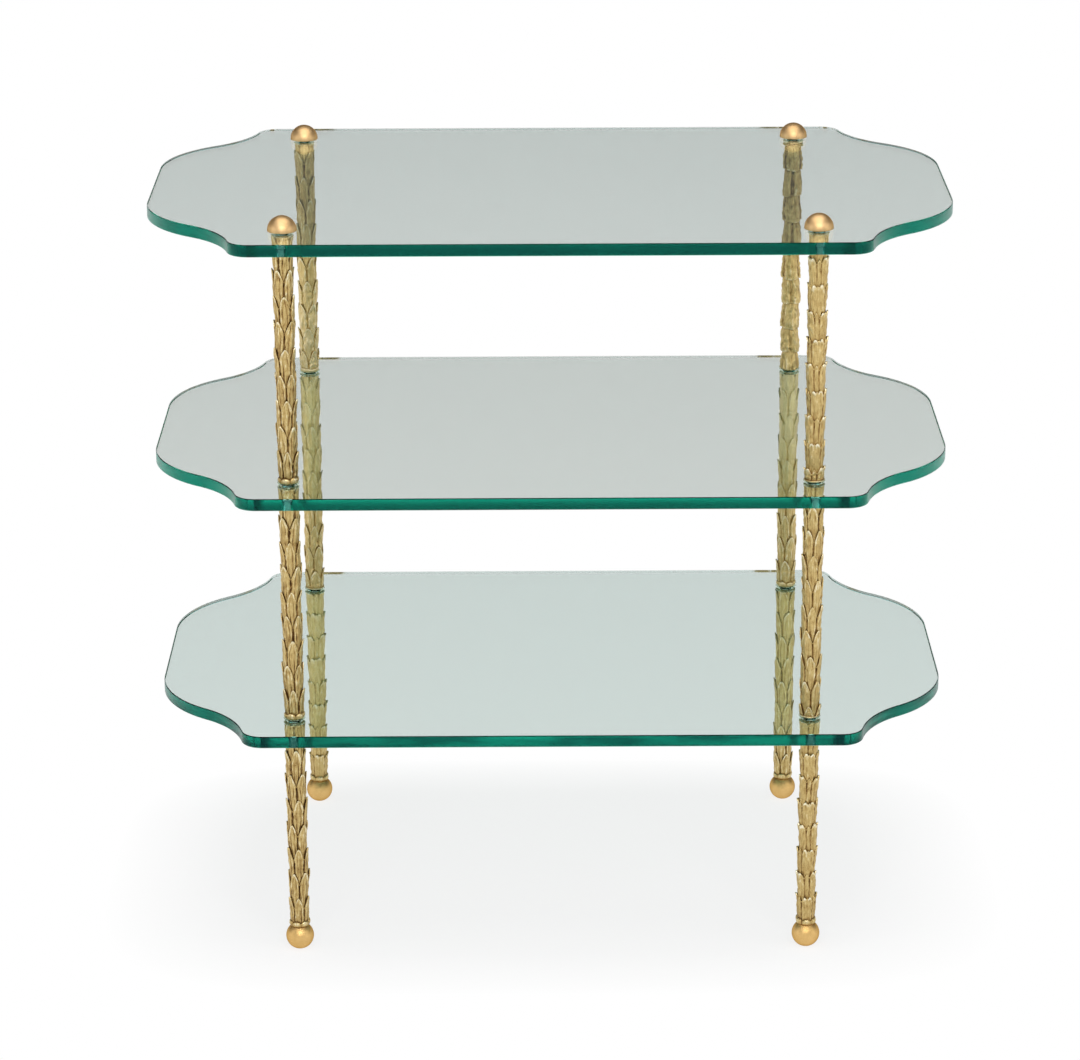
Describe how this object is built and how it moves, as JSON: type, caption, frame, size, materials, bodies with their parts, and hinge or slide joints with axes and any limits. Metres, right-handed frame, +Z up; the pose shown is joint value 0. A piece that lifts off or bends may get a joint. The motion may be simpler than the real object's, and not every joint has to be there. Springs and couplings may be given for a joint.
{
  "type": "etagere",
  "caption": "Free-standing etagere: clear glass shelves with a shaped outline, on slender cast palm-trunk posts with dome caps and ball feet.",
  "frame": {"origin": "on the floor, in the middle between the four ball feet", "axes": "+Z up, +X to the right along the shelves' long side, -Y the front"},
  "size_m": [0.66, 0.409, 0.6357],
  "materials": {
    "glass": "clear float glass, polished edges that look deep green",
    "cast_brass": "cast brass, aged, dark in the hollows and worn bright on the leaf tips",
    "satin_brass": "satin, brushed, warm gold",
    "clear_plastic": "clear, slightly frosted",
    "stud_steel": "plain"
  },
  "bodies": {
    "root": {"top_shelf": "glass", "middle_shelf": "glass", "bottom_shelf": "glass", "front_left_upper_post": "cast_brass", "front_right_upper_post": "cast_brass", "back_left_upper_post": "cast_brass", "back_right_upper_post": "cast_brass", "front_left_middle_post": "cast_brass", "front_right_middle_post": "cast_brass", "back_left_middle_post": "cast_brass", "back_right_middle_post": "cast_brass", "front_left_leg": "cast_brass", "front_right_leg": "cast_brass", "back_left_leg": "cast_brass", "back_right_leg": "cast_brass", "front_left_dome_cap": "satin_brass", "front_left_ball_foot": "satin_brass", "front_right_dome_cap": "satin_brass", "front_right_ball_foot": "satin_brass", "back_left_dome_cap": "satin_brass", "back_left_ball_foot": "satin_brass", "back_right_dome_cap": "satin_brass", "back_right_ball_foot": "satin_brass", "cap_studs": "stud_steel", "middle_studs": "stud_steel", "lower_studs": "stud_steel", "foot_studs": "stud_steel", "top_shelf_lower_washers": "clear_plastic", "top_shelf_upper_washers": "clear_plastic", "top_shelf_sleeves": "clear_plastic", "middle_shelf_lower_washers": "clear_plastic", "middle_shelf_upper_washers": "clear_plastic", "middle_shelf_sleeves": "clear_plastic", "bottom_shelf_lower_washers": "clear_plastic", "bottom_shelf_upper_washers": "clear_plastic", "bottom_shelf_sleeves": "clear_plastic"}
  },
  "joints": []
}
